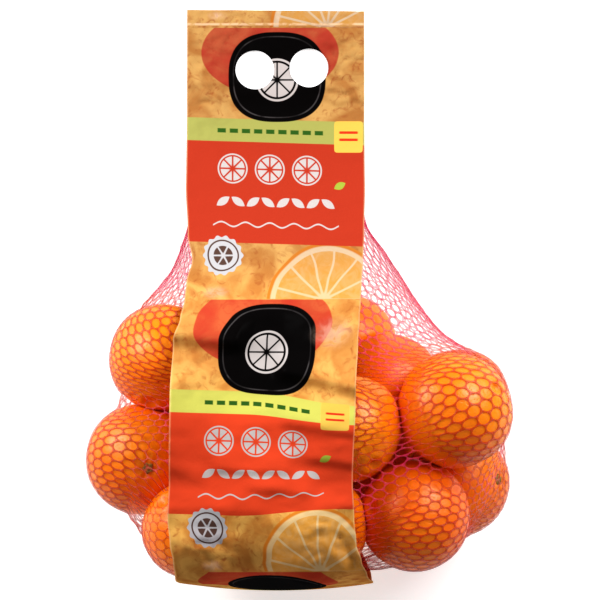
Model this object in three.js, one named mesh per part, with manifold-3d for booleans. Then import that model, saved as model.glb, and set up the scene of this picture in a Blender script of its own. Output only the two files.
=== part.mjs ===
// A mesh bag of navel oranges, laid down on its back. Millimetres, +Z up, header toward +Y.
//
// The bag is a knitted net tube closed at both ends between two bands of printed film. The front
// band runs over the heap and the back band lies under it. Past the upper weld the two bands form
// a flat header with a pair of round finger holes. The net and its fruit are one closed solid out
// to the lumpy surface where the net is drawn over the oranges; each film band is its own solid.

import * as THREE from 'three';
import { mergeVertices } from 'three/addons/utils/BufferGeometryUtils.js';
import Module from 'manifold-3d';

const filmThickness = 1.2;      // each band, with its welded hems
const gap = 0.4;                // clearance between pieces that touch
const netThickness = 2.2;       // knitted strands and their slack, outside the fruit
const heapFloor = filmThickness + gap;   // the net's underside lies on the back band

// The fruit: place of each centre in plan, diameter, and how closely it nests on those below it
// (1 is a bare touch). Each one settles onto the earlier ones in this list.
const oranges = [
  { x: 33, y: -30, diameter: 68, nesting: 0.95 },
  { x: -28, y: 1, diameter: 69, nesting: 0.95 },
  { x: -71, y: -75, diameter: 69, nesting: 0.95 },
  { x: -66, y: -141, diameter: 68, nesting: 0.95 },
  { x: -4, y: -158, diameter: 69, nesting: 0.90 },
  { x: 50, y: -117, diameter: 68, nesting: 0.88 },
  { x: 110, y: -68, diameter: 68, nesting: 0.95 },
  { x: 108, y: -126, diameter: 72, nesting: 0.86 },
  { x: -7, y: -80, diameter: 71, nesting: 0.95 },
  { x: 60, y: -60, diameter: 74, nesting: 0.73 },
  { x: -107, y: -108, diameter: 76, nesting: 0.95 },
  { x: -92, y: -40, diameter: 75, nesting: 0.91 },
  { x: 104, y: -74, diameter: 78, nesting: 0.90 },
  { x: 77, y: -145, diameter: 75, nesting: 0.94 },
  { x: 32, y: -86, diameter: 73, nesting: 0.90 },
  { x: 9, y: -152, diameter: 73, nesting: 0.93 },
  { x: -38, y: -97, diameter: 70, nesting: 0.95 },
  { x: -21, y: -29, diameter: 70, nesting: 0.95 },
  { x: -72, y: -154, diameter: 68, nesting: 0.92 },
];

// Where the net tube is held: middle in X and Z, half width, place in Y and half height. The two
// welds are flat, and the throat is where the gathered neck comes out from between the bands.
const lowerWeld = { x: -20, halfWidth: 54, y: -186, z: 52, halfHeight: 1.2 };
const throat = { x: -16, halfWidth: 60, y: 54, z: 28, halfHeight: 26 };
const upperWeld = { x: -17, halfWidth: 57, y: 112, z: heapFloor + 1.2, halfHeight: 1.2 };

// Net tube: vertices around it, rows from the lower weld to the throat and from there to the
// upper weld, and the loose tube it is drawn in from. The hoop pull is the share of the pull that
// runs around the tube; it slackens to the neck's between neckFoot and neckTop of the way along.
const net = {
  around: 52,
  rows: 48,
  neckRows: 4,
  looseWidth: 182,
  looseHeight: 96,
  looseCentreZ: 76,
  looseEnds: 30,
  hoopPull: 0.45,
  neckPull: 0.18,
  neckFoot: 0.55,
  neckTop: 0.8,
  stepLimit: 2.5,
  passes: 500,
};

// Edges of the bands from the lower end to the header, as [y, x of left, x of right]
const frontEdges = [
  [-201, -84, 46],
  [-185, -89, 41],
  [-160, -88, 36],
  [-120, -87, 35],
  [-60, -85, 37],
  [-27, -82, 39],
  [0, -73, 41],
  [27, -72, 43],
  [45, -77, 44],
  [80, -79, 45],
  [203, -79, 45],
];
const backEdges = [
  [-201, -83, 45],
  [-170, -82, 43],
  [0, -79, 45],
  [203, -79, 45],
];

// Cells of a band, its clearance over the net within a patch of the plan around each corner, and
// how it hangs: the share of the pull that runs lengthwise, and the sag that its weight adds
const film = {
  across: 8,
  along: 54,
  lift: 1.3,
  patchX: 7,
  patchY: 3.5,
  passes: 600,
  lengthwisePull: 0.72,
  sag: 0.16,
};

// The bands' ends: the lower ends form a fin past the weld, cut to an arc; the header's top edge
// is cut a little slanting, and the header lies flat from its foot on
const lowerEnd = { y: -200, arc: 5, frontZ: 46, backZ: 41 };
const header = { top: 203, slant: 4, foot: 134 };

// Finger holes through both bands
const fingerHoles = [
  { x: -31.6, y: 161 },
  { x: 6.3, y: 162.4 },
];
const fingerHoleRadius = 13.6;
const fingerHoleSides = 40;

const wasm = await Module();
wasm.setup();

function part(name, geometry, color, roughness) {
  const material = new THREE.MeshStandardMaterial({ color, roughness, metalness: 0 });
  const mesh = new THREE.Mesh(geometry, material);
  mesh.name = name;
  return mesh;
}

// ---------------------------------------------------------------- fruit

function settleHeap(list) {
  const settled = [];
  for (const { x, y, diameter, nesting } of list) {
    const radius = diameter / 2;
    let z = heapFloor + netThickness + radius;
    for (const below of settled) {
      const apart = Math.hypot(x - below.x, y - below.y);
      const reach = nesting * (radius + below.radius);
      if (apart < reach) {
        z = Math.max(z, below.z + Math.sqrt(reach * reach - apart * apart));
      }
    }
    settled.push({ x, y, z, radius });
  }
  return settled;
}

const heap = settleHeap(oranges);

// ---------------------------------------------------------------- net

// A point of the tube where it is held, angle 0 at its right end. Its section is a flattened oval.
function heldPoint(place, angle) {
  const height = Math.sign(Math.sin(angle)) * Math.sqrt(Math.abs(Math.sin(angle)));
  return new THREE.Vector3(
    place.x + place.halfWidth * Math.cos(angle),
    place.y,
    place.z + place.halfHeight * height,
  );
}

// The loose tube around the heap that the net is drawn in from
function loosePoint(row, angle) {
  const t = row / (net.rows - 1);
  const fullness = Math.pow(Math.sin(Math.PI * THREE.MathUtils.lerp(0.06, 0.9, t)), 0.35);
  const y = THREE.MathUtils.lerp(lowerWeld.y - net.looseEnds, throat.y, t);
  return new THREE.Vector3(
    net.looseWidth * fullness * Math.cos(angle),
    y,
    Math.max(heapFloor, net.looseCentreZ + net.looseHeight * fullness * Math.sin(angle)),
  );
}

// How far a point inside the fruit has to move to lie on the net's outside again
function wayOutOfFruit(point) {
  const way = new THREE.Vector3();
  const away = new THREE.Vector3();
  for (const orange of heap) {
    away.set(point.x - orange.x, point.y - orange.y, point.z - orange.z);
    const depth = orange.radius + netThickness - away.length();
    if (depth > way.length()) way.copy(away.setLength(depth));
  }
  return way;
}

// Keeps a strand between two knots out of the fruit, by its middle and its two ends
function clearStrand(start, end, endIsFree) {
  const way = wayOutOfFruit(start.clone().add(end).multiplyScalar(0.5));
  start.add(way);
  if (endIsFree) end.add(way);
}

function drawNetTube() {
  const rings = [];
  for (let row = 0; row < net.rows; row += 1) {
    const ring = [];
    for (let step = 0; step < net.around; step += 1) {
      const angle = (2 * Math.PI * (step + 0.5)) / net.around;
      if (row === 0) ring.push(heldPoint(lowerWeld, angle));
      else if (row === net.rows - 1) ring.push(heldPoint(throat, angle));
      else ring.push(loosePoint(row, angle));
    }
    rings.push(ring);
  }
  for (let pass = 0; pass < net.passes; pass += 1) {
    for (let row = 1; row < net.rows - 1; row += 1) {
      const slack = THREE.MathUtils.smoothstep(row / (net.rows - 1), net.neckFoot, net.neckTop);
      const hoop = THREE.MathUtils.lerp(net.hoopPull, net.neckPull, slack) / 2;
      const axial = 0.5 - hoop;
      for (let step = 0; step < net.around; step += 1) {
        const before = rings[row][(step + net.around - 1) % net.around];
        const after = rings[row][(step + 1) % net.around];
        const point = rings[row][step];
        const move = point.clone().negate();
        move.addScaledVector(before, hoop).addScaledVector(after, hoop);
        move.addScaledVector(rings[row - 1][step], axial);
        move.addScaledVector(rings[row + 1][step], axial);
        point.add(move.clampLength(0, net.stepLimit));
        point.add(wayOutOfFruit(point));
        clearStrand(point, after, true);
        clearStrand(point, rings[row + 1][step], row + 1 < net.rows - 1);
        point.z = Math.max(point.z, heapFloor);
      }
    }
  }
  for (let row = 1; row <= net.neckRows; row += 1) {
    rings.push(rings[net.rows - 1].map((point, step) => {
      const angle = (2 * Math.PI * (step + 0.5)) / net.around;
      return point.clone().lerp(heldPoint(upperWeld, angle), row / net.neckRows);
    }));
  }
  return rings;
}

// Closed solid from a stack of rings, with a flat cap on the first and the last. Each ring turns
// anticlockwise as seen from the first, and its second half mirrors its first.
function solidFromRings(rings) {
  const around = rings[0].length;
  const positions = [];
  const index = [];
  for (const ring of rings) {
    for (const point of ring) positions.push(point.x, point.y, point.z);
  }
  for (let row = 0; row < rings.length - 1; row += 1) {
    for (let step = 0; step < around; step += 1) {
      const a = row * around + step;
      const b = row * around + ((step + 1) % around);
      index.push(a, b + around, b, a, a + around, b + around);
    }
  }
  const last = (rings.length - 1) * around;
  for (let step = 0; step < around / 2 - 1; step += 1) {
    const low = around - 1 - step;
    index.push(step, step + 1, low, step + 1, low - 1, low);
    index.push(last + step, last + low, last + step + 1);
    index.push(last + step + 1, last + low, last + low - 1);
  }
  const geometry = new THREE.BufferGeometry();
  geometry.setAttribute('position', new THREE.Float32BufferAttribute(positions, 3));
  geometry.setIndex(index);
  return geometry;
}

const netMesh = part('net_of_oranges', solidFromRings(drawNetTube()), 0xf07818, 0.6);
netMesh.material.side = THREE.DoubleSide;

// ---------------------------------------------------------------- film bands

// Value at y of a column of a table of edges, eased between its rows
function edgeAt(edges, y, column) {
  for (let row = 1; row < edges.length; row += 1) {
    const [y0] = edges[row - 1];
    const [y1] = edges[row];
    if (y <= y1) {
      const t = THREE.MathUtils.smoothstep(y, y0, y1);
      return THREE.MathUtils.lerp(edges[row - 1][column], edges[row][column], t);
    }
  }
  return edges[edges.length - 1][column];
}

// Height of the net's surface as met from above (side 1) or from below (side -1), the furthest
// out over a small patch of the plan, or no height where the net isn't met
function netSurfaceNear(x, y, side) {
  const heights = [];
  for (const dx of [-film.patchX, 0, film.patchX]) {
    for (const dy of [-film.patchY, 0, film.patchY]) {
      const from = new THREE.Vector3(x + dx, y + dy, side * 1000);
      const ray = new THREE.Raycaster(from, new THREE.Vector3(0, 0, -side));
      const [hit] = ray.intersectObject(netMesh);
      if (hit) heights.push(hit.point.z * side);
    }
  }
  return heights.length ? side * Math.max(...heights) : undefined;
}

// Underside of a band pulled lengthwise against the net, from above (side 1) or below (side -1).
// It comes as rows of points from the lower end to the header, each row from left to right.
function drapeBand(edges, side, endZ) {
  const flat = side > 0 ? filmThickness + gap : 0;
  const rows = [];
  for (let i = 0; i <= film.along; i += 1) {
    const row = [];
    for (let j = 0; j <= film.across; j += 1) {
      const u = j / film.across;
      const bottom = lowerEnd.y + lowerEnd.arc * (2 * u - 1) ** 2;
      const y = THREE.MathUtils.lerp(bottom, header.top - header.slant * u, i / film.along);
      const x = THREE.MathUtils.lerp(edgeAt(edges, y, 1), edgeAt(edges, y, 2), u);
      const touch = netSurfaceNear(x, y, side);
      const clear = side > 0 ? film.lift : -film.lift - filmThickness;
      const bound = touch === undefined ? undefined : touch + clear;
      const z = i === 0 ? endZ : Math.max(flat, bound ?? flat);
      row.push({ x, y, z, bound, held: i === 0 || y > header.foot });
    }
    rows.push(row);
  }
  const along = film.lengthwisePull / 2;
  const across = 0.5 - along;
  const sag = side > 0 ? film.sag : 0;
  for (let pass = 0; pass < film.passes; pass += 1) {
    for (let i = 1; i < film.along; i += 1) {
      for (let j = 0; j <= film.across; j += 1) {
        const point = rows[i][j];
        if (point.held) continue;
        const left = rows[i][Math.max(j - 1, 0)].z;
        const right = rows[i][Math.min(j + 1, film.across)].z;
        const hung = along * (rows[i - 1][j].z + rows[i + 1][j].z) + across * (left + right) - sag;
        const bound = point.bound ?? hung;
        point.z = Math.max(flat, side > 0 ? Math.max(hung, bound) : Math.min(hung, bound));
      }
    }
  }
  return rows.map((row) => row.map(({ x, y, z }) => new THREE.Vector3(x, y, z)));
}

// Sheet of the film's thickness above an underside given as rows of points
function filmSolid(underside) {
  const rows = underside.length;
  const columns = underside[0].length;
  const upperside = underside.map((row, i) => row.map((point, j) => {
    const along = new THREE.Vector3().subVectors(
      underside[Math.min(i + 1, rows - 1)][j],
      underside[Math.max(i - 1, 0)][j],
    );
    const across = new THREE.Vector3().subVectors(
      row[Math.min(j + 1, columns - 1)],
      row[Math.max(j - 1, 0)],
    );
    const normal = across.cross(along).normalize();
    return point.clone().addScaledVector(normal, filmThickness);
  }));
  return solidFromRings(underside.map((row, i) => [...row, ...upperside[i].reverse()]));
}

function toManifold(geometry) {
  const plain = geometry.clone();
  plain.deleteAttribute('normal');
  plain.deleteAttribute('uv');
  const merged = mergeVertices(plain);
  return new wasm.Manifold(new wasm.Mesh({
    numProp: 3,
    vertProperties: new Float32Array(merged.attributes.position.array),
    triVerts: new Uint32Array(merged.index.array),
  }));
}

function fromManifold(solid) {
  const { vertProperties, triVerts } = solid.getMesh();
  const geometry = new THREE.BufferGeometry();
  geometry.setAttribute('position', new THREE.Float32BufferAttribute(vertProperties, 3));
  geometry.setIndex(Array.from(triVerts));
  geometry.computeVertexNormals();
  return geometry;
}

function cutFingerHoles(geometry) {
  let solid = toManifold(geometry);
  for (const { x, y } of fingerHoles) {
    const punch = new THREE.CylinderGeometry(fingerHoleRadius, fingerHoleRadius, 40, fingerHoleSides);
    punch.rotateX(Math.PI / 2);
    punch.translate(x, y, 0);
    solid = solid.subtract(toManifold(punch));
  }
  return fromManifold(solid);
}

// ---------------------------------------------------------------- assembly

const frontBand = filmSolid(drapeBand(frontEdges, 1, lowerEnd.frontZ));
const backBand = filmSolid(drapeBand(backEdges, -1, lowerEnd.backZ));

const bag = new THREE.Group();
bag.add(netMesh);
bag.add(part('front_label', cutFingerHoles(frontBand), 0xe0482a, 0.4));
bag.add(part('back_label', cutFingerHoles(backBand), 0xe89a4a, 0.4));

export default bag;
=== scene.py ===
import math
import bmesh
import bpy
import numpy as np
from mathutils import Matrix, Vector, noise
from mathutils.bvhtree import BVHTree


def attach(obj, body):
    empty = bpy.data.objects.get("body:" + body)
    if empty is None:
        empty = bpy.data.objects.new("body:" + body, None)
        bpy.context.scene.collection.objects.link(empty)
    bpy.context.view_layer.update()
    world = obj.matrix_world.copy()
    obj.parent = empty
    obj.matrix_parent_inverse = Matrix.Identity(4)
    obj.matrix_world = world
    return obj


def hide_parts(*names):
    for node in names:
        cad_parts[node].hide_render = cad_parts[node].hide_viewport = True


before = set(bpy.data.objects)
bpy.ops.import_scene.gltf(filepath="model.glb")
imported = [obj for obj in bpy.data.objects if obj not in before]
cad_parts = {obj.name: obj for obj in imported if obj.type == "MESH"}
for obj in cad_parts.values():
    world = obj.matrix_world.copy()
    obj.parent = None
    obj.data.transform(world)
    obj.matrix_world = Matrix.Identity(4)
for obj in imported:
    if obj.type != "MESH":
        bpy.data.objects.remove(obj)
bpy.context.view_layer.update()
millimetre = 0.001  # shapes are worked out in millimetres, and each mesh is scaled once it is done

# A mesh bag of navel oranges on its back: header toward +Y, printed front band on top.

# Camera, floor and light

studio = {
    "cameraHeight": 3.0,
    "lens": 257.1,  # 420 mm of floor across the picture
    "floorHalf": 4.0,
    "floorColour": (0.9, 0.9, 0.9, 1.0),
    "floorGlow": 0.46,  # the floor is a light table, which keeps it white under the bag's edges
    "skyStrength": 0.22,
    "aim": (0.0, -0.08, 0.08),  # middle of the heap of fruit
    "softboxes": {  # way to it from the heap, metres away, width, watts
        "right": ((0.63, 0.58, 0.60), 0.95, 0.55, 7.3),
        "left": ((-0.77, 0.46, 0.46), 0.85, 0.5, 5.8),
    },
    "look": "Medium High Contrast",
}


def sRgb(red, green, blue):  # 0 to 255 a channel, as a paint colour
    channels = [c / 255 for c in (red, green, blue)]
    return tuple(((c + 0.055) / 1.055) ** 2.4 if c > 0.04 else c / 12.92 for c in channels) + (1.0,)


def addSoftbox(name, way, far, width, power):
    lamp = bpy.data.lights.new(name, "AREA")
    lamp.shape = "DISK"
    lamp.size = width
    lamp.energy = power
    holder = bpy.data.objects.new(name, lamp)
    holder.location = Vector(studio["aim"]) + Vector(way).normalized() * far
    holder.rotation_euler = Vector(way).to_track_quat("Z", "Y").to_euler()
    holder.visible_camera = False
    bpy.context.scene.collection.objects.link(holder)


def addStudio():
    camera = bpy.data.objects.new("camera", bpy.data.cameras.new("camera"))
    camera.data.sensor_width = 36.0
    camera.data.lens = studio["lens"]
    camera.location = (0, 0, studio["cameraHeight"])
    bpy.context.scene.collection.objects.link(camera)
    bpy.context.scene.camera = camera
    world = bpy.data.worlds.new("studio")
    world.use_nodes = True
    world.node_tree.nodes["Background"].inputs["Color"].default_value = (1, 1, 1, 1)
    world.node_tree.nodes["Background"].inputs["Strength"].default_value = studio["skyStrength"]
    bpy.context.scene.world = world
    for name, (way, far, width, power) in studio["softboxes"].items():
        addSoftbox("softbox_" + name, way, far, width, power)
    bm = bmesh.new()
    bmesh.ops.create_grid(bm, x_segments=1, y_segments=1, size=studio["floorHalf"])
    bmesh.ops.translate(bm, verts=bm.verts, vec=(0, 0, -0.0003))
    mesh = bpy.data.meshes.new("floor")
    bm.to_mesh(mesh)
    bm.free()
    floor = bpy.data.objects.new("floor", mesh)
    paper, _, surface = newMaterial("paper")
    surface.inputs["Base Color"].default_value = studio["floorColour"]
    surface.inputs["Emission Color"].default_value = (1, 1, 1, 1)
    surface.inputs["Emission Strength"].default_value = studio["floorGlow"]
    surface.inputs["Roughness"].default_value = 0.9
    surface.inputs["Specular IOR Level"].default_value = 0.1
    mesh.materials.append(paper)
    bpy.context.scene.collection.objects.link(floor)
    bpy.context.scene.view_settings.view_transform = "Standard"
    bpy.context.scene.view_settings.look = studio["look"]


# Node and mesh helpers

def newMaterial(name):
    material = bpy.data.materials.new(name)
    material.use_nodes = True
    tree = material.node_tree
    return material, tree, tree.nodes["Principled BSDF"]


def feed(tree, socket, value):
    if isinstance(value, bpy.types.NodeSocket):
        tree.links.new(value, socket)
    else:
        socket.default_value = value


def addNode(tree, kind, settings=None, **inputs):  # input names with _ for a blank
    node = tree.nodes.new("ShaderNode" + kind)
    for key, value in (settings or {}).items():
        setattr(node, key, value)
    for key, value in inputs.items():
        feed(tree, node.inputs[key.replace("_", " ")], value)
    return node


def calc(tree, operation, *values):
    node = tree.nodes.new("ShaderNodeMath")
    node.operation = operation
    for socket, value in zip(node.inputs, values):
        feed(tree, socket, value)
    return node.outputs[0]


def blendColours(tree, amount, first, second, mode="MIX"):
    node = tree.nodes.new("ShaderNodeMix")
    node.data_type = "RGBA"
    node.blend_type = mode
    feed(tree, node.inputs[0], amount)
    feed(tree, node.inputs[6], first)
    feed(tree, node.inputs[7], second)
    return node.outputs[2]


def rise(tree, value, start, end, low=0.0, high=1.0):  # smooth step from low to high
    node = addNode(tree, "MapRange", {"interpolation_type": "SMOOTHSTEP"}, Value=value)
    node.inputs["From Min"].default_value = start
    node.inputs["From Max"].default_value = end
    node.inputs["To Min"].default_value = low
    node.inputs["To Max"].default_value = high
    return node.outputs["Result"]


def newPiece(name, bm, material, slot, *nodes):
    bmesh.ops.scale(bm, vec=(millimetre,) * 3, verts=bm.verts)
    mesh = bpy.data.meshes.new(name)
    bm.to_mesh(mesh)
    bm.free()
    mesh.shade_smooth()
    mesh.materials.append(material)
    piece = bpy.data.objects.new(name, mesh)
    bpy.context.scene.collection.objects.link(piece)
    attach(piece, "root")
    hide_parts(*nodes)
    return piece


def smoothStep(value, start, end):
    t = np.clip((value - start) / (end - start), 0, 1)
    return t * t * (3 - 2 * t)


# Fruit

fruit = {
    "floor": 3.8,  # back band, gap and net under the lowest fruit
    "heap": [  # x, y, diameter, how closely it nests on the earlier ones below it
        (33, -30, 68, 0.95),
        (-28, 1, 69, 0.95),
        (-71, -75, 69, 0.95),
        (-66, -141, 68, 0.95),
        (-4, -158, 69, 0.90),
        (50, -117, 68, 0.88),
        (110, -68, 68, 0.95),
        (108, -126, 72, 0.86),
        (-7, -80, 71, 0.95),
        (60, -60, 74, 0.73),
        (-107, -108, 76, 0.95),
        (-92, -40, 75, 0.91),
        (104, -74, 78, 0.90),
        (77, -145, 75, 0.94),
        (32, -86, 73, 0.90),
        (9, -152, 73, 0.93),
        (-38, -97, 70, 0.95),
        (-21, -29, 70, 0.95),
        (-72, -154, 68, 0.92),
    ],
    "stems": {7: (0.82, 0.10, 0.57), 10: (0.14, -0.14, 0.98)},  # ways the stems that show point
    "hiddenStems": {"turn": 2.4, "tilt": -0.7},  # radians from one to the next, and how far down
    "segments": 88,
    "rings": 58,
    "lumps": ((1.1, 1.0), (3.6, 0.38), (12.0, 0.16)),  # noise scale on the unit ball, height
    "oblate": 0.975,
    "stemDip": 2.0,
    "stemDipReach": 6.5,
    "stemRidges": {"count": 7, "height": 0.3, "at": 8, "reach": 4},
    "navel": {"depth": 2.6, "reach": 3.5, "rim": 0.9, "rimAt": 7, "rimReach": 3},
    "tintSpread": 0.9,  # how much the colour differs from one fruit to the next
    "contactGap": 0.15,
}


def settleHeap():
    settled = []
    for number, (x, y, diameter, nesting) in enumerate(fruit["heap"]):
        radius = diameter / 2
        z = fruit["floor"] + radius
        for below in settled:
            apart = math.hypot(x - below["centre"].x, y - below["centre"].y)
            reach = nesting * (radius + below["radius"])
            if apart < reach:
                z = max(z, below["centre"].z + math.sqrt(reach * reach - apart * apart))
        turn = fruit["hiddenStems"]["turn"] * number
        hidden = (math.cos(turn), math.sin(turn), fruit["hiddenStems"]["tilt"])
        stem = Vector(fruit["stems"].get(number, hidden)).normalized()
        settled.append({"centre": Vector((x, y, z)), "radius": radius, "stem": stem, "seed": number})
    return settled


def peelHeight(way, radius, seed):  # relief of the peel in a direction from its middle, stem at +Z
    shift = Vector((seed * 7.3, seed * 3.1, 0))
    height = sum(noise.noise(way * scale + shift) * size for scale, size in fruit["lumps"])
    fromStem = math.acos(max(-1, min(1, way.z))) * radius
    fromNavel = math.pi * radius - fromStem
    ridges, navel = fruit["stemRidges"], fruit["navel"]
    ridge = ridges["height"] * math.cos(ridges["count"] * math.atan2(way.y, way.x) + seed)
    height -= fruit["stemDip"] * math.exp(-((fromStem / fruit["stemDipReach"]) ** 2))
    height += ridge * math.exp(-(((fromStem - ridges["at"]) / ridges["reach"]) ** 2))
    pit = navel["depth"] * math.exp(-((fromNavel / navel["reach"]) ** 2))
    rim = navel["rim"] * math.exp(-(((fromNavel - navel["rimAt"]) / navel["rimReach"]) ** 2))
    return height - (pit - rim), fromStem


def pressFlat(points, orange, heap):  # where two fruit press on each other they share a flat spot
    for other in heap:
        way = other["centre"] - orange["centre"]
        apart = way.length
        if other is orange or apart >= orange["radius"] + other["radius"]:
            continue
        way = np.array(way / apart)
        middle = (apart**2 + orange["radius"] ** 2 - other["radius"] ** 2) / (2 * apart)
        over = (points - np.array(orange["centre"])) @ way - middle + fruit["contactGap"]
        points = points - np.outer(np.maximum(over, 0), way)
    return points


def makeOranges(heap):
    bm = bmesh.new()
    tint = bm.verts.layers.float.new("tint")
    stemWay = bm.verts.layers.float.new("fromStem")
    for orange in heap:
        turn = orange["stem"].to_track_quat("Z", "Y").to_matrix()
        ball = bmesh.ops.create_uvsphere(
            bm, u_segments=fruit["segments"], v_segments=fruit["rings"], radius=1.0
        )
        shade = noise.noise(Vector((orange["seed"] * 5.7, 1.3, 0.4))) * fruit["tintSpread"]
        shapes = []
        for vert in ball["verts"]:
            way = vert.co.normalized()
            height, fromStem = peelHeight(way, orange["radius"], orange["seed"])
            shapes.append(way * (orange["radius"] + height))
            vert[tint] = 0.5 + shade
            vert[stemWay] = fromStem
        shapes = np.array(shapes) * (1, 1, fruit["oblate"])
        places = shapes @ np.array(turn).T + np.array(orange["centre"])
        for vert, place in zip(ball["verts"], pressFlat(places, orange, heap)):
            vert.co = place
    peelSkin = BVHTree.FromBMesh(bm)
    newPiece("oranges", bm, peelMaterial(), "fruit", "net_of_oranges")
    return peelSkin


def peelMaterial():
    material, tree, surface = newMaterial("peel")
    place = addNode(tree, "TexCoord").outputs["Object"]
    tint = addNode(tree, "Attribute", {"attribute_name": "tint"}).outputs["Fac"]
    fromStem = addNode(tree, "Attribute", {"attribute_name": "fromStem"}).outputs["Fac"]
    patches = addNode(tree, "TexNoise", Vector=place, Scale=26.0, Detail=3.0).outputs[0]
    tone = calc(tree, "ADD", calc(tree, "MULTIPLY", patches, 0.8), calc(tree, "MULTIPLY", tint, 0.35))
    base = blendColours(tree, rise(tree, tone, 0.3, 0.85), sRgb(246, 112, 2), sRgb(255, 147, 4))
    nearStem = rise(tree, fromStem, 3.0, 11.0, 1.0, 0.0)
    base = blendColours(tree, calc(tree, "MULTIPLY", nearStem, 0.35), base, sRgb(214, 120, 20))
    pores = addNode(
        tree, "TexVoronoi", {"feature": "SMOOTH_F1"}, Vector=place, Scale=620.0, Smoothness=0.4
    ).outputs["Distance"]
    pit = rise(tree, pores, 0.0, 0.42, 1.0, 0.0)
    base = blendColours(tree, calc(tree, "MULTIPLY", pit, 0.25), base, sRgb(208, 76, 0))
    dimples = addNode(tree, "TexNoise", Vector=place, Scale=230.0, Detail=2.0).outputs[0]
    relief = calc(tree, "SUBTRACT", calc(tree, "MULTIPLY", dimples, 0.9), calc(tree, "MULTIPLY", pit, 0.5))
    bump = addNode(tree, "Bump", Height=relief, Strength=0.6, Distance=0.0006)
    tree.links.new(base, surface.inputs["Base Color"])
    tree.links.new(rise(tree, dimples, 0.2, 0.8, 0.3, 0.42), surface.inputs["Roughness"])
    tree.links.new(bump.outputs[0], surface.inputs["Normal"])
    surface.inputs["Specular IOR Level"].default_value = 0.4
    surface.inputs["Subsurface Weight"].default_value = 0.08
    surface.inputs["Subsurface Radius"].default_value = (1.0, 0.5, 0.1)
    surface.inputs["Subsurface Scale"].default_value = 0.003
    return material


# Stem buttons

stemButton = {
    "profile": ((3.5, -1.0), (3.6, 0.1), (3.1, 0.65), (2.1, 0.85), (1.5, 0.5), (0.9, 0.75)),
    "crown": 0.8,  # height of the middle
    "steps": 25,
    "lobes": 5,
    "lobeDepth": 0.16,
    "wobble": 0.25,
    "sink": 1.5,
}


def makeStemButtons(heap):
    bm = bmesh.new()
    rimRadius = stemButton["profile"][0][0]
    for orange in heap:
        turn = orange["stem"].to_track_quat("Z", "Y")
        corners = [bm.verts.new((r, 0, z)) for r, z in stemButton["profile"]]
        corners.append(bm.verts.new((0, 0, stemButton["crown"])))
        edges = [bm.edges.new(pair) for pair in zip(corners, corners[1:])]
        bmesh.ops.spin(
            bm, geom=corners + edges, axis=(0, 0, 1), cent=(0, 0, 0),
            angle=math.tau, steps=stemButton["steps"], use_merge=True,
        )
        fresh = [v for v in bm.verts if not v.tag]
        bmesh.ops.remove_doubles(bm, verts=fresh, dist=0.001)
        fresh = [v for v in bm.verts if not v.tag]
        foot = orange["radius"] * fruit["oblate"] - stemButton["sink"]
        for vert in fresh:
            out = math.hypot(vert.co.x, vert.co.y)
            angle = math.atan2(vert.co.y, vert.co.x)
            swell = 1 + stemButton["lobeDepth"] * math.cos(stemButton["lobes"] * angle) * out / rimRadius
            wobble = stemButton["wobble"] * noise.noise(vert.co + Vector((orange["seed"] * 9, 0, 0)))
            shape = Vector((vert.co.x * swell, vert.co.y * swell, vert.co.z + wobble + foot))
            vert.co = orange["centre"] + turn @ shape
            vert.tag = True
    bmesh.ops.holes_fill(bm, edges=[e for e in bm.edges if e.is_boundary], sides=0)
    bmesh.ops.recalc_face_normals(bm, faces=bm.faces)
    newPiece("stem_buttons", bm, stemMaterial(), "fruit", "net_of_oranges")


def stemMaterial():
    material, tree, surface = newMaterial("dry_stem")
    place = addNode(tree, "TexCoord").outputs["Object"]
    grain = addNode(tree, "TexNoise", Vector=place, Scale=900.0, Detail=3.0).outputs[0]
    base = blendColours(tree, rise(tree, grain, 0.35, 0.65), sRgb(104, 68, 24), sRgb(176, 146, 78))
    bump = addNode(tree, "Bump", Height=grain, Strength=0.6, Distance=0.0004)
    tree.links.new(base, surface.inputs["Base Color"])
    tree.links.new(bump.outputs[0], surface.inputs["Normal"])
    surface.inputs["Roughness"].default_value = 0.8
    return material


# Net

net = {
    "columns": 88,  # cells around
    "rows": 81,
    "neckRows": 7,
    "lowerWeld": {"x": -20, "y": -186, "z": 52, "halfWidth": 54, "halfHeight": 1.2},
    "throat": {"x": -16, "y": 54, "z": 28, "halfWidth": 60, "halfHeight": 26},
    "upperWeld": {"x": -17, "y": 112, "z": 2.8, "halfWidth": 57, "halfHeight": 1.2},
    "looseWidth": 182,
    "looseHeight": 96,
    "looseCentre": 76,
    "looseEnds": 30,
    "looseTaper": {"start": 0.06, "run": 0.84, "power": 0.35},  # of the tube before it is drawn tight
    "hoopPull": 0.45,
    "neckPull": 0.18,
    "neckFoot": 0.55,
    "neckTop": 0.8,
    "stepLimit": 2.5,
    "stepShare": 0.9,
    "passes": 900,
    "floor": 1.2,
    "clearance": 1.25,  # from peel to the middle of a strand
    "evenness": 0.7,  # how far the cells even out along the rings and along the bag
    "sideCrowd": 0.5,  # how much more of the neck gathers at its two sides
    "cell": 6.5,  # length of a cell where the net is spread
    "neckCell": 11.0,
    "spreadPitch": 8.0,  # width a column has where it counts as spread, and in the neck
    "neckPitch": 3.9,
    "longWay": 70,  # per cent of the columns that a cell's length is measured on
    "strandHalf": 0.5,
    "neckStrandHalf": 0.16,
    "roundedScale": 1.08,
    "thickness": 0.7,
    "snug": 0.5,  # from peel to the middle of a strand that lies on it
    "snugReach": (1.5, 5.0),  # off the peel, over which a strand goes from lying on it to hanging free
    "freeReach": (6.0, 16.0),  # off the peel, over which a strand goes from the painted show-through of the peel to its own colour
    "pairParts": 6,  # a crossing moves toward its pair by one such part of a column's width
    "seed": 4,
    "jitter": 0.22,
    "sway": 1.1,  # slow unevenness of the cells, and how many times it is smoothed
    "swaySpan": 14,
    "roundPasses": 2,
}


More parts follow.
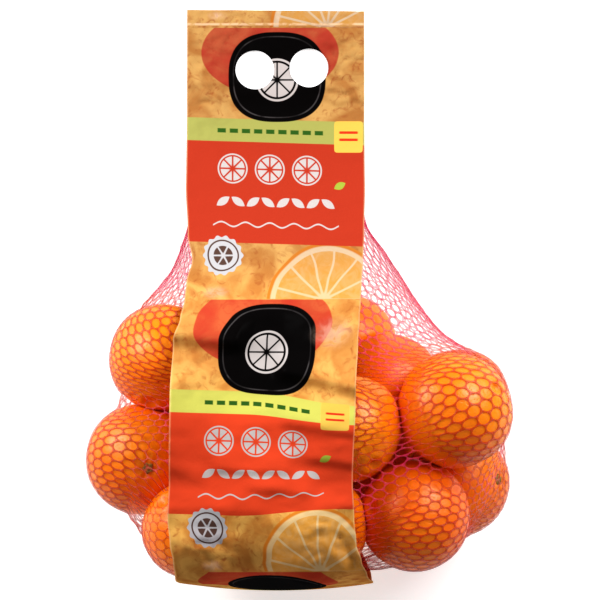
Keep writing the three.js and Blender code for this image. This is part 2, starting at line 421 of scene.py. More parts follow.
def heldRing(place, angles):  # a flattened oval
    ring = np.empty((len(angles), 3))
    ring[:, 0] = place["x"] + place["halfWidth"] * np.cos(angles)
    ring[:, 1] = place["y"]
    bulge = np.sign(np.sin(angles)) * np.sqrt(abs(np.sin(angles)))
    ring[:, 2] = place["z"] + place["halfHeight"] * bulge
    return ring


def looseRing(t, angles):
    taper = net["looseTaper"]
    fullness = math.sin(math.pi * (taper["start"] + taper["run"] * t)) ** taper["power"]
    start = net["lowerWeld"]["y"] - net["looseEnds"]
    ring = np.empty((len(angles), 3))
    ring[:, 0] = net["looseWidth"] * fullness * np.cos(angles)
    ring[:, 1] = start + (net["throat"]["y"] - start) * t
    height = net["looseCentre"] + net["looseHeight"] * fullness * np.sin(angles)
    ring[:, 2] = np.maximum(net["floor"], height)
    return ring


def clearOfFruit(points, heap, clearance):
    flat = points.reshape(-1, 3)
    centres = np.array([tuple(orange["centre"]) for orange in heap])
    reach = np.array([orange["radius"] for orange in heap]) + clearance
    square = (flat**2).sum(1)[:, None] + (centres**2).sum(1)[None, :] - 2 * flat @ centres.T
    apart = np.sqrt(np.maximum(square, 1e-6))
    depth = reach[None, :] - apart
    worst = depth.argmax(axis=1)
    pick = np.arange(len(flat))
    push = np.maximum(depth[pick, worst], 0) / apart[pick, worst]
    return (flat + (flat - centres[worst]) * push[:, None]).reshape(points.shape)


def drawNetTube(heap):
    angles = math.tau * np.arange(net["columns"]) / net["columns"] - math.pi / 2
    rows = net["rows"]
    tube = np.array([looseRing(row / (rows - 1), angles) for row in range(rows)])
    tube[0] = heldRing(net["lowerWeld"], angles)
    tube[-1] = heldRing(net["throat"], angles)
    way = np.arange(1, rows - 1) / (rows - 1)
    slack = smoothStep(way, net["neckFoot"], net["neckTop"])
    hoop = (net["hoopPull"] + (net["neckPull"] - net["hoopPull"]) * slack)[:, None, None]
    for _ in range(net["passes"]):
        around = (np.roll(tube, 1, axis=1) + np.roll(tube, -1, axis=1))[1:-1] / 2
        along = (tube[:-2] + tube[2:]) / 2
        move = hoop * around + (1 - hoop) * along - tube[1:-1]
        far = np.linalg.norm(move, axis=2, keepdims=True)
        move *= net["stepShare"] * np.minimum(1, net["stepLimit"] / np.maximum(far, 1e-9))
        tube[1:-1] = clearOfFruit(tube[1:-1] + move, heap, net["clearance"])
        tube[1:-1, :, 2] = np.maximum(tube[1:-1, :, 2], net["floor"])
    end = heldRing(net["upperWeld"], angles)
    neck = [tube[-1] + (end - tube[-1]) * row / net["neckRows"] for row in range(1, net["neckRows"] + 1)]
    return np.concatenate([tube, neck])


def wayAlong(line):
    along = np.concatenate([[0], np.cumsum(np.linalg.norm(np.diff(line, axis=0), axis=1))])
    return along / along[-1]


def slideAlong(line, along, wanted):
    return np.stack([np.interp(wanted, along, line[:, axis]) for axis in range(3)], axis=1)


def evenCells(rings):  # slides the crossings round each ring and then along each column
    share = np.arange(net["columns"]) / net["columns"]
    tube = np.empty((len(rings), net["columns"], 3))
    for row, ring in enumerate(rings):
        closed = np.concatenate([ring, ring[:1]])
        along = wayAlong(closed)
        drawn = np.interp(share, np.linspace(0, 1, len(closed)), along)
        crowd = net["sideCrowd"] * smoothStep(row / net["rows"], net["neckFoot"], net["neckTop"])
        even = share + crowd * np.sin(4 * np.pi * share) / (4 * np.pi)
        tube[row] = slideAlong(closed, along, drawn + (even - drawn) * net["evenness"])
    ways = np.stack([wayAlong(tube[:, column]) for column in range(net["columns"])], axis=1)
    typical = ways.mean(axis=1)
    for column in range(net["columns"]):
        along = ways[:, column]
        wanted = along + (typical - along) * net["evenness"]
        tube[:, column] = slideAlong(tube[:, column], along, wanted)
    return tube


def spaceKnots(tube):  # rows half a cell apart, and cells grow longer where the net is gathered
    steps = np.percentile(np.linalg.norm(np.diff(tube, axis=0), axis=2), net["longWay"], axis=1)
    widths = np.linalg.norm(np.roll(tube, -1, axis=1) - tube, axis=2).mean(axis=1)
    spread = smoothStep((widths[1:] + widths[:-1]) / 2, net["neckPitch"], net["spreadPitch"])
    length = net["neckCell"] + (net["cell"] - net["neckCell"]) * spread
    count = np.concatenate([[0], np.cumsum(steps / length)])
    halves = 2 * round(count[-1])
    row = np.interp(np.linspace(0, count[-1], halves + 1), count, np.arange(len(tube)))
    low = np.minimum(row.astype(int), len(tube) - 2)
    part = (row - low)[:, None, None]
    return tube[low] * (1 - part) + tube[low + 1] * part


def placeKnots(sheet, heap):  # pulled together in pairs, alternately to the right and to the left
    rows, columns, _ = sheet.shape
    right = np.roll(sheet, -1, axis=1) - sheet
    left = np.roll(sheet, 1, axis=1) - sheet
    even = (np.arange(rows)[:, None] + np.arange(columns)[None, :]) % 2 == 0
    knots = sheet + np.where(even[:, :, None], right, left) / net["pairParts"]
    chance = np.random.default_rng(net["seed"])
    jitter = chance.normal(0, net["jitter"], knots.shape)
    sway = chance.normal(0, 1, knots.shape)
    for _ in range(net["swaySpan"]):
        sway = (sway + np.roll(sway, 1, axis=1) + np.roll(sway, -1, axis=1)) / 3
        sway[1:-1] = (sway[1:-1] + sway[:-2] + sway[2:]) / 3
    jitter += sway / sway.std() * net["sway"]
    jitter[[0, -1]] = 0
    knots = clearOfFruit(knots + jitter, heap, net["clearance"])
    knots[:, :, 2] = np.maximum(knots[:, :, 2], net["floor"])
    return knots


def roundOpening(face, strandHalf):  # evens the inset to the strand's width and rounds its corners
    spots = []
    for vert in face.verts:
        for edge in vert.link_edges:
            other = edge.other_vert(vert)
            if other not in face.verts:
                spots.append(other.co + (vert.co - other.co) * strandHalf)
                break
        else:
            spots.append(vert.co.copy())
    count = len(spots)
    for _ in range(net["roundPasses"]):
        spots = [
            spots[i] * 0.5 + (spots[i - 1] + spots[(i + 1) % count]) * 0.25 for i in range(count)
        ]
    middle = sum(spots, Vector()) / len(spots)
    for vert, spot in zip(face.verts, spots):
        vert.co = middle + (spot - middle) * net["roundedScale"]


def layOnPeel(bm, peelSkin):  # strands near the real peel are drawn onto it
    offPeel = bm.verts.layers.float.new("offPeel")
    for vert in bm.verts:
        touch, outward, _, far = peelSkin.find_nearest(vert.co)
        off = far if (vert.co - touch).dot(outward) > 0 else 0.0
        if off < net["snugReach"][1]:
            off = net["snug"] + max(0.0, off - net["snug"]) * float(smoothStep(off, *net["snugReach"]))
            vert.co = touch + outward * off
        vert[offPeel] = off


def makeNetHalf(name, knots, heap, peelSkin, firstColumn, material):
    half = net["columns"] // 2
    rows = len(knots) - 1
    bm = bmesh.new()
    bmesh.ops.create_grid(bm, x_segments=half, y_segments=rows, size=1)
    spot = {}
    for vert in bm.verts:
        column = round((vert.co.x + 1) / 2 * half)
        row = round((vert.co.y + 1) / 2 * rows)
        spot[vert] = (row, column)
        vert.co = Vector(knots[row, (firstColumn + column) % net["columns"]])
    crossings = []
    for edge in bm.edges:
        (row, column), (otherRow, otherColumn) = sorted(spot[v] for v in edge.verts)
        if row == otherRow and (firstColumn + column + row) % 2 == 1 and 0 < row < rows:
            crossings.append(edge)
    bmesh.ops.dissolve_edges(bm, edges=crossings, use_verts=False)
    bmesh.ops.subdivide_edges(bm, edges=bm.edges[:], cuts=1)
    places = clearOfFruit(np.array([tuple(v.co) for v in bm.verts]), heap, net["clearance"])
    for vert, place in zip(bm.verts, places):
        vert.co = place
    cells = bm.faces[:]
    bmesh.ops.inset_individual(bm, faces=cells, thickness=1.0, use_even_offset=False)
    for cell in cells:
        spreadOut = min(1.0, math.sqrt(cell.calc_area()) / net["cell"])
        strandHalf = net["neckStrandHalf"] + (net["strandHalf"] - net["neckStrandHalf"]) * spreadOut
        roundOpening(cell, strandHalf)
    bmesh.ops.delete(bm, geom=cells, context="FACES_ONLY")
    layOnPeel(bm, peelSkin)
    piece = newPiece(name, bm, material, "net", "net_of_oranges")
    wall = piece.modifiers.new("strand", "SOLIDIFY")
    wall.thickness = net["thickness"] * millimetre
    wall.offset = 0
    return piece


def netMaterial():  # clear strands: near the peel their colour is painted red-orange, standing for the peel's light shining through them, and free ones are pink
    material, tree, surface = newMaterial("knitted_net")
    place = addNode(tree, "TexCoord").outputs["Object"]
    offPeel = addNode(tree, "Attribute", {"attribute_name": "offPeel"}).outputs["Fac"]
    filaments = addNode(tree, "TexNoise", Vector=place, Scale=1400.0, Detail=2.0).outputs[0]
    grain = rise(tree, filaments, 0.3, 0.7)
    free = rise(tree, offPeel, *net["freeReach"])
    # painted light: strands on the peel are coloured red-orange as if the peel's light shone through them
    peelShowThrough = blendColours(tree, grain, sRgb(194, 40, 6), sRgb(222, 62, 22))
    loose = blendColours(tree, grain, sRgb(222, 30, 84), sRgb(240, 62, 118))
    bump = addNode(tree, "Bump", Height=filaments, Strength=0.5, Distance=0.0003)
    tree.links.new(blendColours(tree, free, peelShowThrough, loose), surface.inputs["Base Color"])
    tree.links.new(bump.outputs[0], surface.inputs["Normal"])
    surface.inputs["Roughness"].default_value = 0.3
    surface.inputs["Specular IOR Level"].default_value = 0.5
    surface.inputs["Alpha"].default_value = 0.36  # light passes the near and the far wall of a strand
    return material


# Film bands

film = {
    "across": 70,
    "along": 226,
    "thickness": 0.25,
    "holes": ((-31.6, 161), (6.3, 162.4)),
    "holeRadius": 13.6,
    "castFrom": 1000,  # height from which the net under or over the film is looked for
    "noNet": -1e6,  # stands for its height where none is found
    "passes": 1500,
    "lengthwisePull": 0.4,
    "sag": 0.01,
    "lift": 1.1,  # over the middle of the strands
    "top": 203,
    "slant": 1,
    "foot": 134,
    "lowerY": -200,
    "lowerArc": 5,
    "steep": (-181, -187),  # y over which the film turns down the end of the bag
    "steepPrint": 0.7,  # print that runs down there, to the length of the film
    "pressed": 0.6,  # how far a fold may press in below the smooth film where the net is under it
    "lowest": 0.3,  # share of the flat height that a fold may not press below
    "headerRelief": 0.95,  # how much of the folds' height the header takes
    "headerPressed": 0.7,  # share of the header's height that a fold may press in there
}
frontBand = {
    "side": 1,
    "flat": 1.2,
    "loose": 1.0,
    "printFalls": ((275, 24, -10, 64, 8.0), (352, 20, -20, 60, -7.0)),  # v, reach, from u, to u, fall
    "endHeight": 44.4,
    "edges": (  # y, x of left, x of right
        (-201, -83, 52),
        (-192, -83, 50),
        (-184, -83.5, 45),
        (-174, -84.5, 41),
        (-162, -86.5, 37.5),
        (-145, -88, 36),
        (-120, -87, 35),
        (-60, -86.5, 37),
        (-27, -85, 39),
        (-12, -80.5, 40.2),
        (0, -78, 41),
        (12, -77, 41.8),
        (27, -73.5, 43),
        (45, -77, 44),
        (80, -79, 45),
        (203, -79, 45),
    ),
}
backBand = {
    "side": -1,
    "flat": 0,
    "loose": 0.0,
    "printFalls": (),
    "endHeight": 43.4,
    "edges": (
        (-201, -82.5, 51.5),
        (-192, -82.5, 49.5),
        (-170, -81, 42),
        (0, -72, 42),
        (27, -69, 43),
        (50, -74, 44),
        (80, -79, 45),
        (203, -79, 45),
    ),
}


def edgeAt(edges, y, column):
    stations = np.array([row[0] for row in edges], float)
    values = np.array([row[column] for row in edges], float)
    upper = np.clip(np.searchsorted(stations, y), 1, len(stations) - 1)
    t = smoothStep(y, stations[upper - 1], stations[upper])
    return values[upper - 1] + (values[upper] - values[upper - 1]) * t


def drapeBand(band, netSkin):  # a sheet of points pulled lengthwise against the net
    u = np.linspace(0, 1, film["across"] + 1)[None, :]
    t = np.linspace(0, 1, film["along"] + 1)[:, None]
    bottom = film["lowerY"] + film["lowerArc"] * (2 * u - 1) ** 2
    y = bottom + (film["top"] - film["slant"] * u - bottom) * t
    x = edgeAt(band["edges"], y, 1) * (1 - u) + edgeAt(band["edges"], y, 2) * u
    side = band["side"]
    touch = np.full(x.shape, film["noNet"])
    for place in np.ndindex(x.shape):
        start = Vector((x[place], y[place], side * film["castFrom"]))
        hit = netSkin.ray_cast(start, Vector((0, 0, -side)))[0]
        if hit:
            touch[place] = hit.z * side
    near = touch.copy()
    for rowStep in (-1, 0, 1):
        for columnStep in (-1, 0, 1):
            shifted = np.roll(np.roll(touch, rowStep, axis=0), columnStep, axis=1)
            near = np.maximum(near, shifted)
    netThere = near > film["noNet"] / 10
    bound = side * near + side * film["lift"] - (film["thickness"] if side < 0 else 0)
    held = (y > film["foot"]) | (t == 0)
    z = np.maximum(band["flat"], np.where(netThere, bound, band["flat"]))
    z = np.where(t == 0, band["endHeight"], np.where(y > film["foot"], band["flat"], z))
    along = film["lengthwisePull"] / 2
    across = 0.5 - along
    sag = film["sag"] if side > 0 else 0
    for _ in range(film["passes"]):
        padded = np.pad(z, 1, mode="edge")
        hung = along * (padded[:-2, 1:-1] + padded[2:, 1:-1])
        hung += across * (padded[1:-1, :-2] + padded[1:-1, 2:])
        hung -= sag
        if side > 0:
            hung = np.maximum(hung, bound)
        else:
            hung = np.where(netThere, np.minimum(hung, bound), hung)
        z = np.where(held, z, np.maximum(band["flat"], hung))
    return np.stack([x, y, z, bound], axis=2)


folds = {
    "soft": ((0.018, 0.05, 1.6), (0.055, 0.12, 0.8)),  # noise across, noise down, height
    "crease": {"across": 0.13, "down": 0.17, "height": 2.0, "sharpness": 2.4},
    "creased": (  # u and v of the middle of a crumpled patch, its reach, how strong
        (-50, 64, 20, 1.0),
        (46, 22, 18, 1.0),
        (54, 54, 24, 1.2),
        (-34, 22, 24, 0.6),
        (-20, 6, 30, 0.4),
        (55, 215, 24, 0.6),
        (-46, 252, 22, 0.5),
        (-40, 385, 24, 0.8),
        (52, 376, 24, 0.9),
    ),
    "lines": (  # from u and v to u and v, width, depth (ridges are below zero)
        (-64, 11.5, 64, 12.5, 1.2, 0.8),
        (1.4, -2, 0.6, 11, 1.8, -0.8),
        (-68, 51, -28, 52, 1.8, -1.8),
        (-43, 52, -42, 80, 1.8, -1.7),
        (-50, 52, -51, 78, 1.7, -1.5),
        (-36, 58, -37, 78, 1.7, -1.4),
        (36, 29, 70, 33, 1.9, -2.2),
        (44, 42, 70, 44, 1.7, -1.7),
        (41, 32, 40, 54, 1.6, -1.5),
        (28, 54, 58, 57, 1.9, -2.0),
        (36, 66, 70, 61, 1.8, -1.6),
        (26, 21, 48, 25, 2.0, -1.5),
        (-76, 224, -12, 232, 7.0, -9.5),
        (6, 250, 78, 265, 6.0, -10.0),
        (-68, 262, -30, 258, 4.0, -1.6),
        (10, 287, 72, 297, 4.0, -2.8),
        (-38, 319, 26, 322, 4.6, -3.4),
        (28, 312, 72, 319, 3.6, -2.2),
        (-70, 318, -36, 330, 4.5, -1.5),
        (-14, 333, 40, 338, 4.0, -2.4),
        (-70, 346, 6, 352, 5.0, -1.8),
        (30, 352, 70, 346, 3.6, -1.6),
        (-64, 397, 30, 393, 1.0, 0.8),
        (38, 372, 58, 398, 2.4, -1.8),
        (50, 362, 66, 392, 2.4, 1.8),
        (-62, 380, -30, 376, 3.4, -1.6),
    ),
    "trail": 2.2,  # how much gentler a fold is on its upper side
    "fade": 9.0,  # over which the end of a line runs out
}


def foldHeight(u, v, heldFlat):  # how far the film stands off, in millimetres
    height = sum(
        noise.noise(Vector((u * across, v * down, 3.1 + down))) * size
        for across, down, size in folds["soft"]
    )
    patch = sum(
        strength * math.exp(-(((u - pu) ** 2 + (v - pv) ** 2) / reach**2))
        for pu, pv, reach, strength in folds["creased"]
    )
    crease = folds["crease"]
    swing = abs(noise.noise(Vector((u * crease["across"], v * crease["down"], 8.4))))
    sharp = 1 - crease["sharpness"] * swing
    height += patch * sharp * crease["height"]
    for startU, startV, endU, endV, width, depth in folds["lines"]:
        wayU, wayV = endU - startU, endV - startV
        length = math.hypot(wayU, wayV)
        along = ((u - startU) * wayU + (v - startV) * wayV) / length
        off = ((u - startU) * wayV - (v - startV) * wayU) / length
        reach = width if (off > 0) == (depth > 0) else width * folds["trail"]
        if abs(off) < 3 * reach:
            run = min(1, max(0, along / folds["fade"])) * min(1, max(0, (length - along) / folds["fade"]))
            height -= depth * run * math.exp(-((off / reach) ** 2))
    return height * heldFlat


def printRunDown(sheet):  # the length of print that the steep lower end takes up, evened across the band
    step = np.diff(sheet[:, :, :3], axis=0)
    extra = np.linalg.norm(step, axis=2) - abs(step[:, :, 1])
    extra *= film["steepPrint"] * smoothStep(sheet[:-1, :, 1], *film["steep"])
    extra[:] = extra.mean(axis=1, keepdims=True)
    return np.concatenate([np.cumsum(extra[::-1], axis=0)[::-1], np.zeros((1, sheet.shape[1]))])


def makeBand(name, band, sheet, material, slot, node):
    rows, columns = sheet.shape[0] - 1, sheet.shape[1] - 1
    bm = bmesh.new()
    bmesh.ops.create_grid(bm, x_segments=columns, y_segments=rows, size=1)
    margin = bm.verts.layers.float.new("margin")
    uv = bm.loops.layers.uv.new("print")
    runDown = printRunDown(sheet)
    printed = {}
    for vert in bm.verts:
        column = round((vert.co.x + 1) / 2 * columns)
        row = round((vert.co.y + 1) / 2 * rows)
        vert.co = Vector(sheet[row, column, :3])
        left, right = sheet[row, 0, 0], sheet[row, columns, 0]
        width = right - left
        u = column / columns
        vert[margin] = min(u, 1 - u) * width
        nearer = 1 - vert.co.z / (studio["cameraHeight"] / millimetre)
        across, down = (u - 0.5) * width / nearer, film["top"] - vert.co.y / nearer
        relief = foldHeight(across, down, band["loose"])
        lowest = band["flat"] * film["lowest"]
        if vert.co.y > film["foot"]:
            relief = max(relief * film["headerRelief"], -band["flat"] * film["headerPressed"])
        elif band["side"] > 0:
            lowest = max(lowest, sheet[row, column, 3] - film["pressed"])
        vert.co.z = max(lowest, vert.co.z + (relief + band["loose"]) * band["side"])
        down += runDown[row, column]
        for middleV, reach, startU, endU, drop in band["printFalls"]:
            share = float(smoothStep(across, startU, endU))
            down -= drop * share * math.exp(-(((down - middleV) / reach) ** 2))
        printed[vert] = (across, down)
    for face in bm.faces:
        for loop in face.loops:
            loop[uv].uv = printed[loop.vert]
    punchHoles(bm, uv)
    piece = newPiece(name, bm, material, slot, node)
    wall = piece.modifiers.new("film", "SOLIDIFY")
    wall.thickness = film["thickness"] * millimetre
    wall.offset = 1
    return piece


def punchHoles(bm, uv):  # takes the faces out and moves the rim, with its print, onto the circle
    for x, y in film["holes"]:
        inside = set()
        for face in bm.faces:
            middle = face.calc_center_median()
            if math.hypot(middle.x - x, middle.y - y) < film["holeRadius"]:
                inside.add(face)
        rim = {v for f in inside for v in f.verts if any(g not in inside for g in v.link_faces)}
        bmesh.ops.delete(bm, geom=list(inside), context="FACES")
        for vert in rim:
            away = Vector((vert.co.x - x, vert.co.y - y, 0))
            move = away.normalized() * film["holeRadius"] - away
            vert.co += move
            for loop in vert.link_loops:
                loop[uv].uv += Vector((move.x, -move.y))


# Print on the bands: W runs down from the top of a repeat, U across from the middle, in millimetres

artwork = {
    "start": 12,
    "repeat": 190.4,
    "slant": 0.03,  # the print runs a little askew
    "gold": (sRgb(207, 141, 68), sRgb(241, 187, 100), sRgb(180, 98, 46)),
    "badge": {"u": 1, "w": 35, "halfU": 34, "halfW": 31.5, "colour": sRgb(12, 10, 10)},
    # painted highlight: a grey line along the badge's edge
    "badgeRimGleam": {"at": 0.9, "half": 0.012, "colour": sRgb(74, 70, 70)},
    "badgeWheel": {"u": 1, "w": 37, "radius": 15, "segments": 8, "last": 300},  # none on the end wall
    "sun": {"u": -4, "w": 18, "halfU": 48, "halfW": 30, "colour": sRgb(204, 74, 50)},
    "lime": {"from": 65, "to": 81, "colour": sRgb(200, 198, 96)},
    "dashes": {"w": 73.5, "pitch": 8.5, "from": -42, "to": 34.5, "halfU": 2.9, "halfW": 1.5},
    "dashColour": sRgb(52, 92, 34),
    "red": {"from": 81, "to": 152, "colour": sRgb(216, 74, 42)},
    "tab": {"u": 51, "w": 77, "halfU": 10, "halfW": 11, "colour": sRgb(226, 184, 84)},
    "tabBars": {"colour": sRgb(206, 60, 34), "halfU": 6.5, "halfW": 0.9, "rows": (74, 79)},
    "wheels": {"w": 100, "pitch": 26, "from": -43, "to": 35, "radius": 10.5, "segments": 8},
    "leaves": {"w": 123, "pitch": 10.5, "from": -42, "to": 42, "length": 11, "width": 5.2, "tilt": 0.6},
    "sprig": {"u": 45, "w": 110, "length": 9, "width": 5, "tilt": -0.5, "colour": sRgb(158, 172, 66)},
    "wave": {"w": 139, "height": 1.6, "length": 17, "half": 0.55, "reach": 44},
    "white": sRgb(192, 184, 181),
    "slice": {"u": 36, "w": 191, "radius": 40, "rind": 37.6, "pith": 34, "segments": 13},
    "sliceColours": (sRgb(226, 140, 50), sRgb(238, 206, 150), sRgb(232, 168, 76)),
    "seal": {"u": -38, "w": 160, "radius": 13.5, "scallop": 0.7, "scallops": 14},
    "sealColours": (sRgb(184, 182, 184), sRgb(88, 66, 58)),
    # the weld seam across the header: its lit top and shaded underside are painted as a pale line with a
    # dark one beneath
    "weld": {
        "down": 10.0,
        "half": 0.8,
        "shadow": 2.2,  # half widths from the pale line down to the dark one
        "pale": sRgb(232, 196, 158),
        "dark": sRgb(140, 74, 38),
    },
    "glints": (  # painted highlights, soft glare spots on the film: u, distance down the band, half width, half height
        (-41, 4, 9, 4),
        (2, 6, 2.6, 7),
        (-40, 198, 12, 6),
        (46, 226, 18, 14),
        (-39, 389, 9, 6),
    ),
    "glint": {"strength": 0.36, "colour": sRgb(236, 206, 184)},
    "shadeTones": (  # painted shade: where one ends going down the band, over how much, and what it does to the print
        (165, 40, (0.78, 0.84, 1.0, 1.0)),  # painted shade on the header, where two films also lie together
        # painted shade, darker from the top down to the middle of the band, where it slopes toward the lamps
        (245, 35, (0.82, 0.77, 0.86, 1.0)),
    ),
    # painted shade, darker toward the lower end of the band
    "endShade": {"from": 345, "to": 388, "colour": (0.76, 0.70, 0.72, 1.0)},
}


def paintPrint(tree):
    uv = addNode(tree, "UVMap", {"uv_map": "print"}).outputs[0]
    split = addNode(tree, "SeparateXYZ", Vector=uv)
    u, alongBand = split.outputs["X"], split.outputs["Y"]
    w = calc(tree, "FLOORED_MODULO", calc(tree, "SUBTRACT", alongBand, artwork["start"]), artwork["repeat"])

    def times(*values):
        total = values[0]
        for value in values[1:]:
            total = calc(tree, "MULTIPLY", total, value)
        return total

    def minus(value, other):
        return calc(tree, "SUBTRACT", value, other)

    def squared(value):
        return times(value, value)

    def within(distance, limit, soft=0.25):
        return rise(tree, distance, limit - soft, limit + soft, 1.0, 0.0)

    def between(value, low, high, soft=0.25):
        return times(rise(tree, value, low - soft, low + soft), within(value, high, soft))

    def farFrom(across, below):
        return calc(tree, "SQRT", calc(tree, "ADD", squared(across), squared(below)))

    def outline(part, power=2.0):  # 1 on the outline of an oval, or of a squarer shape
        across = calc(tree, "DIVIDE", calc(tree, "ABSOLUTE", minus(u, part["u"])), part["halfU"])
        below = calc(tree, "DIVIDE", calc(tree, "ABSOLUTE", minus(w, part["w"])), part["halfW"])
        total = calc(tree, "ADD", calc(tree, "POWER", across, power), calc(tree, "POWER", below, power))
        return calc(tree, "POWER", total, 1 / power)

    def segments(across, below, radius, count, gap):  # wedges of a cut fruit, with gaps between them
        far = farFrom(across, below)
        turn = calc(tree, "ARCTAN2", below, across)
        swing = calc(tree, "ABSOLUTE", calc(tree, "SINE", times(turn, count / 2)))
        wedge = rise(tree, times(swing, far, 2 / count), gap, gap + 0.5)
        return times(wedge, within(far, radius), rise(tree, far, radius * 0.1, radius * 0.16))

    def wheel(across, below, part):
        far = farFrom(across, below)
        rim = between(far, part["radius"] * 0.9, part["radius"])
        wedges = segments(across, below, part["radius"] * 0.8, part["segments"], 0.3)
        return calc(tree, "MAXIMUM", rim, wedges)

    def leaf(across, below, part, lean):
        cosine, sine = math.cos(part["tilt"]), math.sin(part["tilt"])
        leaned = times(across, lean)
        along = calc(tree, "ADD", times(leaned, cosine), times(below, sine))
        off = calc(tree, "ABSOLUTE", minus(times(below, cosine), times(leaned, sine)))
        belly = minus(part["width"] / 2, times(squared(along), 2 * part["width"] / part["length"] ** 2))
        return within(minus(off, belly), 0.0)

    def inRow(part):  # across each of a row of motifs, and where the row is
        shifted = minus(u, part["from"])
        across = minus(calc(tree, "FLOORED_MODULO", shifted, part["pitch"]), part["pitch"] / 2)
        return across, shifted, between(u, part["from"], part["to"], 0.1)

    def paint(amount, colour, mode="MIX"):
        nonlocal base
        base = blendColours(tree, amount, base, colour, mode)

    shade, bright, deep = artwork["gold"]
    mottle = addNode(tree, "TexNoise", Vector=uv, Scale=0.045, Detail=4.0, Distortion=0.7).outputs[0]
    pulp = addNode(tree, "TexNoise", Vector=uv, Scale=0.14, Detail=5.0, Distortion=1.4).outputs[0]
    base = blendColours(tree, rise(tree, mottle, 0.34, 0.66), shade, bright)
    paint(rise(tree, pulp, 0.5, 0.78, 0.0, 0.75), deep)

    cut = artwork["slice"]
    rindColour, pithColour, pulpColour = artwork["sliceColours"]
    across, below = minus(u, cut["u"]), minus(w, cut["w"])
    far = farFrom(across, below)
    paint(within(far, cut["radius"], 0.5), rindColour)
    paint(within(far, cut["rind"], 0.6), pithColour)
    flesh = segments(across, below, cut["pith"], cut["segments"], 0.5)
    paint(times(flesh, rise(tree, pulp, 0.3, 0.75, 1.0, 0.7)), pulpColour)

    slanted = minus(w, times(u, artwork["slant"]))
    sun = times(within(outline(artwork["sun"]), 1.0, 0.01), rise(tree, w, 0.2, 0.8))
    paint(times(sun, rise(tree, mottle, 0.3, 0.7, 1.0, 0.8)), artwork["sun"]["colour"])
    red = artwork["red"]
    paint(between(slanted, red["from"], red["to"]), red["colour"])
    lime = artwork["lime"]
    paint(between(slanted, lime["from"], lime["to"]), lime["colour"])
    # painted shade, darker toward the top of the band
    for lastV, run, colour in artwork["shadeTones"]:
        paint(rise(tree, alongBand, lastV, lastV + run, 1.0, 0.0), colour, "MULTIPLY")

    dashes = artwork["dashes"]
    across, _, row = inRow(dashes)
    sideways = calc(tree, "DIVIDE", calc(tree, "ABSOLUTE", across), dashes["halfU"])
    upDown = calc(tree, "DIVIDE", calc(tree, "ABSOLUTE", minus(slanted, dashes["w"])), dashes["halfW"])
    dash = calc(tree, "MAXIMUM", sideways, upDown)
    paint(times(within(dash, 1.0, 0.15), row), artwork["dashColour"])

    wheels = artwork["wheels"]
    across, _, row = inRow(wheels)
    paint(times(wheel(across, minus(slanted, wheels["w"]), wheels), row), artwork["white"])
    leaves = artwork["leaves"]
    across, shifted, row = inRow(leaves)
    number = calc(tree, "FLOOR", calc(tree, "DIVIDE", shifted, leaves["pitch"]))
    lean = minus(times(calc(tree, "FLOORED_MODULO", number, 2.0), 2.0), 1.0)
    paint(times(leaf(across, minus(slanted, leaves["w"]), leaves, lean), row), artwork["white"])
    sprig = artwork["sprig"]
    paint(leaf(minus(u, sprig["u"]), minus(slanted, sprig["w"]), sprig, 1.0), sprig["colour"])
    wave = artwork["wave"]
    crest = times(calc(tree, "SINE", times(u, math.tau / wave["length"])), wave["height"])
    fromWave = calc(tree, "ABSOLUTE", minus(minus(slanted, wave["w"]), crest))
    paint(times(within(fromWave, wave["half"]), between(u, -wave["reach"], wave["reach"])), artwork["white"])

    seal = artwork["seal"]
    paper, ink = artwork["sealColours"]
    across, below = minus(u, seal["u"]), minus(w, seal["w"])
    far = farFrom(across, below)
    turn = calc(tree, "ARCTAN2", below, across)
    scallop = times(calc(tree, "COSINE", times(turn, seal["scallops"])), seal["scallop"])
    paint(within(minus(far, scallop), seal["radius"]), paper)
    paint(between(far, seal["radius"] * 0.74, seal["radius"] * 0.82, 0.2), ink)
    paint(segments(across, below, seal["radius"] * 0.5, 6, 0.3), ink)

    tab = artwork["tab"]
    paint(within(outline(tab, 12.0), 1.0, 0.02), tab["colour"])
    bars = artwork["tabBars"]
    for barRow in bars["rows"]:
        bar = {"u": tab["u"], "w": barRow, "halfU": bars["halfU"], "halfW": bars["halfW"]}
        paint(within(outline(bar, 12.0), 1.0, 0.1), bars["colour"])

    badge = artwork["badge"]
    badgeEdge = outline(badge, 2.6)
    paint(within(badgeEdge, 1.0, 0.01), badge["colour"])
    # painted highlight along the badge's edge
    rim = artwork["badgeRimGleam"]
    gleam = between(badgeEdge, rim["at"] - rim["half"], rim["at"] + rim["half"], 0.01)
    paint(times(gleam, rise(tree, mottle, 0.4, 0.6, 0.2, 1.0)), rim["colour"])
    mark = artwork["badgeWheel"]
    marked = within(alongBand, mark["last"])
    paint(times(wheel(minus(u, mark["u"]), minus(w, mark["w"]), mark), marked), artwork["white"])
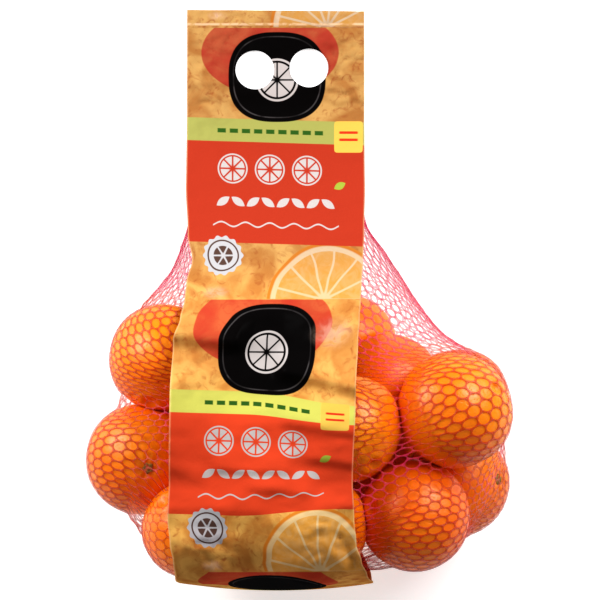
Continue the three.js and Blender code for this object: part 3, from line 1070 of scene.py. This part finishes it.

    # painted shade toward the lower end of the band
    end = artwork["endShade"]
    paint(rise(tree, alongBand, end["from"], end["to"]), end["colour"], "MULTIPLY")
    # weld seam, with a painted highlight line and a painted shadow line beneath it
    weld = artwork["weld"]
    fromWeld = minus(alongBand, weld["down"])
    broken = rise(tree, pulp, 0.36, 0.6, 0.15, 0.8)
    paint(times(within(calc(tree, "ABSOLUTE", fromWeld), weld["half"], 0.5), broken), weld["pale"])
    weldShadowLine = calc(tree, "ABSOLUTE", minus(fromWeld, weld["shadow"] * weld["half"]))
    paint(times(within(weldShadowLine, weld["half"], 0.5), broken, 0.6), weld["dark"])
    # painted highlights: pale glare spots on the film
    for glintU, glintDown, halfU, halfV in artwork["glints"]:
        across = calc(tree, "DIVIDE", minus(u, glintU), halfU)
        below = calc(tree, "DIVIDE", minus(alongBand, glintDown), halfV)
        glare = rise(tree, farFrom(across, below), 0.1, 1.0, artwork["glint"]["strength"], 0.0)
        paint(times(glare, rise(tree, pulp, 0.35, 0.6, 0.3, 1.0)), artwork["glint"]["colour"])
    return base


def bandMaterial(name):
    material, tree, surface = newMaterial(name)
    base = paintPrint(tree)
    margin = addNode(tree, "Attribute", {"attribute_name": "margin"}).outputs["Fac"]
    base = blendColours(tree, rise(tree, margin, 0.5, 1.1, 0.35, 0.0), base, sRgb(240, 196, 150))
    place = addNode(tree, "TexCoord").outputs["Object"]
    crinkle = addNode(tree, "TexNoise", Vector=place, Scale=90.0, Detail=3.0, Distortion=0.8).outputs[0]
    bump = addNode(tree, "Bump", Height=crinkle, Strength=0.4, Distance=0.001)
    tree.links.new(base, surface.inputs["Base Color"])
    tree.links.new(bump.outputs[0], surface.inputs["Normal"])
    surface.inputs["Coat Weight"].default_value = 0.02
    surface.inputs["Coat Roughness"].default_value = 0.4
    surface.inputs["Roughness"].default_value = 0.6
    surface.inputs["Specular IOR Level"].default_value = 0.0  # what little gloss there is, is in the coat
    return material


# Making

addStudio()
heap = settleHeap()
print("heap settled, top at", round(max(o["centre"].z + o["radius"] for o in heap), 1), "mm")
peelSkin = makeOranges(heap)
makeStemButtons(heap)
print("fruit made")
tube = drawNetTube(heap)
print("net drawn")
knots = placeKnots(spaceKnots(evenCells(tube)), heap)
ringCount = net["columns"]
skinFaces = [
    (row * ringCount + i, row * ringCount + (i + 1) % ringCount,
     (row + 1) * ringCount + (i + 1) % ringCount, (row + 1) * ringCount + i)
    for row in range(len(knots) - 1) for i in range(ringCount)
]
netSkin = BVHTree.FromPolygons([tuple(p) for p in knots.reshape(-1, 3)], skinFaces)
strands = netMaterial()
for side, firstColumn in (("right", 0), ("left", net["columns"] // 2)):
    makeNetHalf("net_" + side, knots, heap, peelSkin, firstColumn, strands)
print("net knitted,", len(knots) // 2, "rows of cells")
frontSheet = drapeBand(frontBand, netSkin)
makeBand("front_band", frontBand, frontSheet, bandMaterial("front_print"), "front_print", "front_label")
backSheet = drapeBand(backBand, netSkin)
makeBand("back_band", backBand, backSheet, bandMaterial("back_print"), "back_print", "back_label")
print("bands draped")
